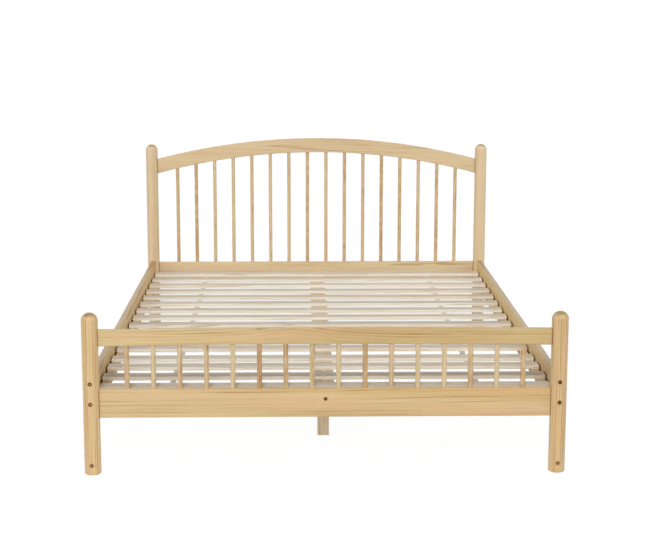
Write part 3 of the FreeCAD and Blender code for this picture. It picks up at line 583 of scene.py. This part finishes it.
def makeBolt(bolt, headRadius, length):
    # stands along Z: the head's face at the top, at height 0, and the shank below it
    shape = bmesh.new()
    hexRadius = bolt["socketAcross"] / 2
    mouth = hexRadius + bolt["socketLead"]
    shank, tip = bolt["shankRadius"], bolt["tipBevel"]
    profile = [(mouth, 0), (headRadius - bolt["rimRound"], 0)]
    for step in (1, 2, 3):
        turn = math.pi / 6 * step
        profile.append((headRadius - bolt["rimRound"] * (1 - math.sin(turn)),
                        -bolt["rimRound"] * (1 - math.cos(turn))))
    profile += [(headRadius, -bolt["headThick"]), (shank, -bolt["headThick"])]
    turns = round(bolt["threadLength"] / bolt["threadPitch"])
    threadStart = tip - length + bolt["threadPitch"] * turns
    profile.append((shank, threadStart))
    for step in range(turns):
        rootHeight = threadStart - bolt["threadPitch"] * (step + 0.5)
        profile.append((shank - bolt["threadDeep"], rootHeight))
        profile.append((shank, rootHeight - bolt["threadPitch"] / 2))
    profile += [(shank - tip, -length), (0, -length)]
    verts = [shape.verts.new((radius, 0, height)) for radius, height in profile]
    edges = [shape.edges.new(pair) for pair in zip(verts, verts[1:])]
    bmesh.ops.spin(shape, geom=verts + edges, cent=(0, 0, 0), axis=(0, 0, 1), angle=math.tau,
                   steps=bolt["steps"], use_merge=True, use_duplicate=False)
    bmesh.ops.remove_doubles(shape, verts=shape.verts, dist=1e-6)
    rim = [edge for edge in shape.edges if edge.is_boundary]

    # the socket: a hexagon let down from just under the face
    floor = bmesh.ops.create_circle(shape, cap_ends=True, segments=6, radius=hexRadius,
                                    matrix=Matrix.Translation((0, 0, -bolt["socketDeep"])))["verts"]
    edges = [edge for edge in floor[0].link_faces[0].edges]
    walls = bmesh.ops.extrude_edge_only(shape, edges=edges)["geom"]
    top = [part for part in walls if isinstance(part, bmesh.types.BMVert)]
    bmesh.ops.translate(shape, verts=top, vec=(0, 0, bolt["socketDeep"] - bolt["socketLead"]))
    hexTop = [part for part in walls if isinstance(part, bmesh.types.BMEdge)]
    socketFaces = {face for vert in floor for face in vert.link_faces}
    bmesh.ops.bridge_loops(shape, edges=rim + hexTop)
    for face in shape.faces:
        face.material_index = 1 if face in socketFaces else 0
        face.smooth = face not in socketFaces
    return shape


def placeBolts(bolt, node, name, head, socket):
    # each bolt lies along Y with its head towards the near end of the bed; the left-hand sockets take the
    # socket material, which for the side rail bolts is a painted highlight, and the sockets of the
    # right-hand ones stay dark
    joined = bmesh.new()
    for low, high in solidBoxes(node):
        outward = 1 if low.y + high.y > 0 else -1
        shape = makeBolt(bolt, (high.x - low.x) / 2, high.y - low.y)
        if high.x > 0:
            for face in shape.faces:
                face.material_index *= 2  # from the socket's material to the last one
        turn = Matrix.Rotation(math.radians(-90 * outward), 4, "X")
        face = high.y if outward > 0 else low.y
        bmesh.ops.transform(shape, verts=shape.verts, matrix=Matrix.Translation(
            ((low.x + high.x) / 2, face, (low.z + high.z) / 2)) @ turn)
        single = bpy.data.meshes.new("bolt")
        shape.to_mesh(single)
        shape.free()
        joined.from_mesh(single)
        bpy.data.meshes.remove(single)
    materials = [metals[head], metals[socket], metals["darkBronze"]]
    finishPiece(joined, name, materials, node, flat=True)


# the side rail bolts' left-hand sockets get a painted highlight
placeBolts(bolt, "side_rail_bolts", "sideRailBolts", "darkBronze", "highlightBronze")
placeBolts(bolt, "foot_post_bolts", "footPostBolts", "agedBrass", "darkBronze")
placeBolts(bolt, "beam_bolts", "beamBolts", "darkBronze", "darkBronze")
print("bolts made")

# Webbing straps under the slats, and their staples

# the darker of the two thread colours serves the darker threads and selvedge, and also the painted shade in
# the weave's hollows
strap = {
    "steps": 800, "acrossSteps": 4, "thick": 0.0011, "sag": 0.0022, "warpWidth": 0.0014,
    "weftWidth": 0.0011, "thread": (238, 232, 222), "darkThreadAndShade": (190, 180, 166), "paintedGapShade": 0.35,
    "threadSpread": 0.25, "selvedge": 0.0012, "selvedgeTone": 0.7, "fuzz": (700, 700, 700),
    "weaveRelief": 0.0002,
}
staple = {
    "crown": 0.010, "wireWidth": 0.0012, "wireThick": 0.0006, "leg": 0.0011, "fromEdge": 0.012,
    "round": 0.0002, "sunk": 0.0001, "turnMost": 7,
}


def strapDip(y, slatBoxes, sag):
    # how far the strap hangs below the slats at a place along the bed
    for (before, _), (after, _) in zip([box[::-1] for box in slatBoxes], slatBoxes[1:]):
        if before.y < y < after.y:
            share = (y - before.y) / (after.y - before.y)
            return sag * 4 * share * (1 - share)
    return 0.0


def webbingMaterial(name, look, middleX, width):
    material, tree, shader = newMaterial(name)
    place = tree.nodes.new("ShaderNodeTexCoord").outputs["Object"]
    parts = tree.nodes.new("ShaderNodeSeparateXYZ")
    feed(tree, parts.inputs[0], place)
    warp = maths(tree, "DIVIDE", parts.outputs["X"], look["warpWidth"])
    weft = maths(tree, "DIVIDE", parts.outputs["Y"], look["weftWidth"])
    warpRound = maths(tree, "ABSOLUTE", maths(tree, "SINE", maths(tree, "MULTIPLY", warp, math.pi)))
    weftRound = maths(tree, "ABSOLUTE", maths(tree, "SINE", maths(tree, "MULTIPLY", weft, math.pi)))
    turnBy = maths(tree, "ADD", maths(tree, "FLOOR", warp), maths(tree, "FLOOR", weft))
    over = maths(tree, "PINGPONG", turnBy, 1.0)
    height = maths(tree, "ADD", maths(tree, "MULTIPLY", warpRound, over),
                   maths(tree, "MULTIPLY", weftRound, maths(tree, "SUBTRACT", 1.0, over)))
    ownTone = randomNumber(tree, maths(tree, "FLOOR", warp))
    threadTone = maths(tree, "MULTIPLY_ADD", ownTone, look["threadSpread"], 1 - look["threadSpread"])
    # painted shade in the hollows between the threads
    tone = maths(tree, "MULTIPLY", threadTone, ease(tree, height, 0.0, 0.8, look["paintedGapShade"], 1.0))
    fromMiddle = maths(tree, "ABSOLUTE", maths(tree, "SUBTRACT", parts.outputs["X"], middleX))
    edgeMiddle = width / 2 - look["selvedge"]
    edge = ease(tree, fromMiddle, edgeMiddle - look["selvedge"] / 2, edgeMiddle + look["selvedge"] / 2,
                1.0, look["selvedgeTone"])
    tone = maths(tree, "MULTIPLY", tone, edge)
    fuzz = noise(tree, place, look["fuzz"], 3.0, 0.7)
    tone = maths(tree, "MULTIPLY", tone, ease(tree, fuzz, 0.2, 0.8, 0.85, 1.0))
    feed(tree, shader.inputs["Base Color"],
         mixColour(tree, tone, toLinear(look["darkThreadAndShade"]), toLinear(look["thread"])))
    feed(tree, shader.inputs["Roughness"], maths(tree, "MULTIPLY_ADD", fuzz, 0.2, 0.7))
    shader.inputs["Specular IOR Level"].default_value = 0.15
    bumpInto(tree, shader, height, look["weaveRelief"])
    return material


def makeStrap(look, node, slatBoxes):
    low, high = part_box(node)
    middle, width = (low + high) / 2, high.x - low.x
    shape = bmesh.new()
    bmesh.ops.create_grid(shape, x_segments=look["acrossSteps"], y_segments=look["steps"], size=0.5)
    bmesh.ops.scale(shape, verts=shape.verts, vec=(width, high.y - low.y, 1))
    bmesh.ops.translate(shape, verts=shape.verts, vec=(middle.x, middle.y, high.z))
    for vert in shape.verts:
        vert.co.z -= strapDip(vert.co.y, slatBoxes, look["sag"])
    bmesh.ops.recalc_face_normals(shape, faces=shape.faces)
    if shape.faces[0].normal.z < 0:
        bmesh.ops.reverse_faces(shape, faces=shape.faces)
    bmesh.ops.solidify(shape, geom=shape.faces[:], thickness=look["thick"])
    name = "webbingStrap" + ("Left" if middle.x < 0 else "Right")
    webbing = webbingMaterial(name, look, middle.x, width)
    finishPiece(shape, name, [webbing], node, flat=True)
    return middle.x, high.z - look["thick"]


def makeStaple(look):
    # a crown with two short legs that go up into the strap, its middle at the origin
    shape = bmesh.new()
    bmesh.ops.create_cube(shape, size=1)
    bmesh.ops.scale(shape, verts=shape.verts, vec=(look["crown"], look["wireWidth"], look["wireThick"]))
    legStart = look["crown"] / 2 - look["wireThick"]
    for side in (-1, 1):
        bmesh.ops.bisect_plane(shape, geom=shape.verts[:] + shape.edges[:] + shape.faces[:],
                               plane_co=(side * legStart, 0, 0), plane_no=(1, 0, 0))
    ends = [face for face in shape.faces
            if face.normal.z > 0.9 and abs(face.calc_center_median().x) > legStart]
    legs = bmesh.ops.extrude_discrete_faces(shape, faces=ends)["faces"]
    for face in legs:
        bmesh.ops.translate(shape, verts=face.verts, vec=(0, 0, look["leg"]))
    corners = [edge for edge in shape.edges if edge.calc_face_angle(0) > 1]
    bmesh.ops.bevel(shape, geom=corners, offset=look["round"], affect="EDGES", segments=1, profile=0.5,
                    material=-1)
    return shape


def placeStaples(look, name, strapX, strapUnder, slatBoxes):
    draw = random.Random(7)
    single = bpy.data.meshes.new("staple")
    makeStaple(look).to_mesh(single)
    joined = bmesh.new()
    for low, high in slatBoxes:
        for y in (low.y + look["fromEdge"], high.y - look["fromEdge"]):
            before = len(joined.verts)
            joined.from_mesh(single)
            joined.verts.ensure_lookup_table()
            turn = Matrix.Rotation(math.radians(draw.uniform(-look["turnMost"], look["turnMost"])), 4, "Z")
            height = strapUnder + look["sunk"] - look["wireThick"] / 2
            bmesh.ops.transform(joined, verts=joined.verts[before:],
                                matrix=Matrix.Translation((strapX, y, height)) @ turn)
    bpy.data.meshes.remove(single)
    finishPiece(joined, name, [metals["zincPlate"]], flat=True)


slatBoxes = [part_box(node) for node in sorted(nodes) if node.startswith("slat_") and node[-2:].isdigit()]
for side in ("left", "right"):
    strapX, strapUnder = makeStrap(strap, "slat_strap_" + side, slatBoxes)
    placeStaples(staple, "strapStaples" + side.capitalize(), strapX, strapUnder, slatBoxes)
print("straps and staples made")

# Floor and light

floorLook = {
    "size": 400.0, "colour": (0.9, 0.9, 0.9, 1.0), "glow": 0.94, "shadowColour": (0.12, 0.12, 0.12, 1.0),
}


def makeFloor(look):
    shape = bmesh.new()
    bmesh.ops.create_grid(shape, x_segments=1, y_segments=1, size=look["size"] / 2)
    mesh = bpy.data.meshes.new("floor")
    shape.to_mesh(mesh)
    shape.free()
    floor = bpy.data.objects.new("floor", mesh)
    scene.collection.objects.link(floor)
    material, tree, shader = newMaterial("paleFloor")
    tree.nodes.remove(shader)
    lightPath = tree.nodes.new("ShaderNodeLightPath").outputs
    seen = maths(tree, "MAXIMUM", lightPath["Is Camera Ray"], lightPath["Is Glossy Ray"])
    seen = maths(tree, "MAXIMUM", seen, lightPath["Is Transmission Ray"])
    diffuse = tree.nodes.new("ShaderNodeBsdfDiffuse")
    diffuse.inputs["Color"].default_value = look["colour"]
    shadowKeeper = tree.nodes.new("ShaderNodeBsdfDiffuse")
    shadowKeeper.inputs["Color"].default_value = look["shadowColour"]
    white = tree.nodes.new("ShaderNodeEmission")
    white.inputs["Strength"].default_value = look["glow"]
    mostlyWhite = tree.nodes.new("ShaderNodeAddShader")
    feed(tree, mostlyWhite.inputs[0], white.outputs[0])
    feed(tree, mostlyWhite.inputs[1], shadowKeeper.outputs[0])
    surface = tree.nodes.new("ShaderNodeMixShader")
    feed(tree, surface.inputs[0], seen)
    feed(tree, surface.inputs[1], diffuse.outputs[0])
    feed(tree, surface.inputs[2], mostlyWhite.outputs[0])
    feed(tree, tree.nodes["Material Output"].inputs["Surface"], surface.outputs[0])
    mesh.materials.append(material)


# Each lamp is a soft source far away: height and turn in degrees, turn 0 is behind the camera
lamps = {
    "key": {"height": 45, "turn": -6, "spread": 12, "level": 0.25},
    "lowFront": {"height": 14, "turn": 0, "spread": 60, "level": 0.42},
    "left": {"height": 18, "turn": -65, "spread": 40, "level": 0.41},
    "right": {"height": 18, "turn": 65, "spread": 40, "level": 0.35},
    "behind": {"height": 12, "turn": 180, "spread": 60, "level": 0.28},
}
surround = {"strength": 0.1}


def makeLamp(name, lamp):
    data = bpy.data.lights.new(name, "SUN")
    data.angle = math.radians(lamp["spread"])
    data.energy = math.pi * lamp["level"]
    light = bpy.data.objects.new(name, data)
    turn = Matrix.Rotation(math.radians(lamp["turn"]), 4, "Z")
    turn @= Matrix.Rotation(math.radians(90 - lamp["height"]), 4, "X")
    light.matrix_world = turn
    scene.collection.objects.link(light)


def makeSurround(look):
    world = bpy.data.worlds.new("paleStudio")
    scene.world = world
    world.use_nodes = True
    tree = world.node_tree
    lightPath = tree.nodes.new("ShaderNodeLightPath").outputs
    seen = maths(tree, "MAXIMUM", lightPath["Is Camera Ray"], lightPath["Is Glossy Ray"])
    seen = maths(tree, "MAXIMUM", seen, lightPath["Is Transmission Ray"])
    strength = maths(tree, "MULTIPLY_ADD", seen, 1.0 - look["strength"], look["strength"])
    background = tree.nodes["Background"]
    background.inputs["Color"].default_value = (1, 1, 1, 1)
    feed(tree, background.inputs["Strength"], strength)


makeFloor(floorLook)
for name, lamp in lamps.items():
    makeLamp(name, lamp)
makeSurround(surround)
print("floor and light set")
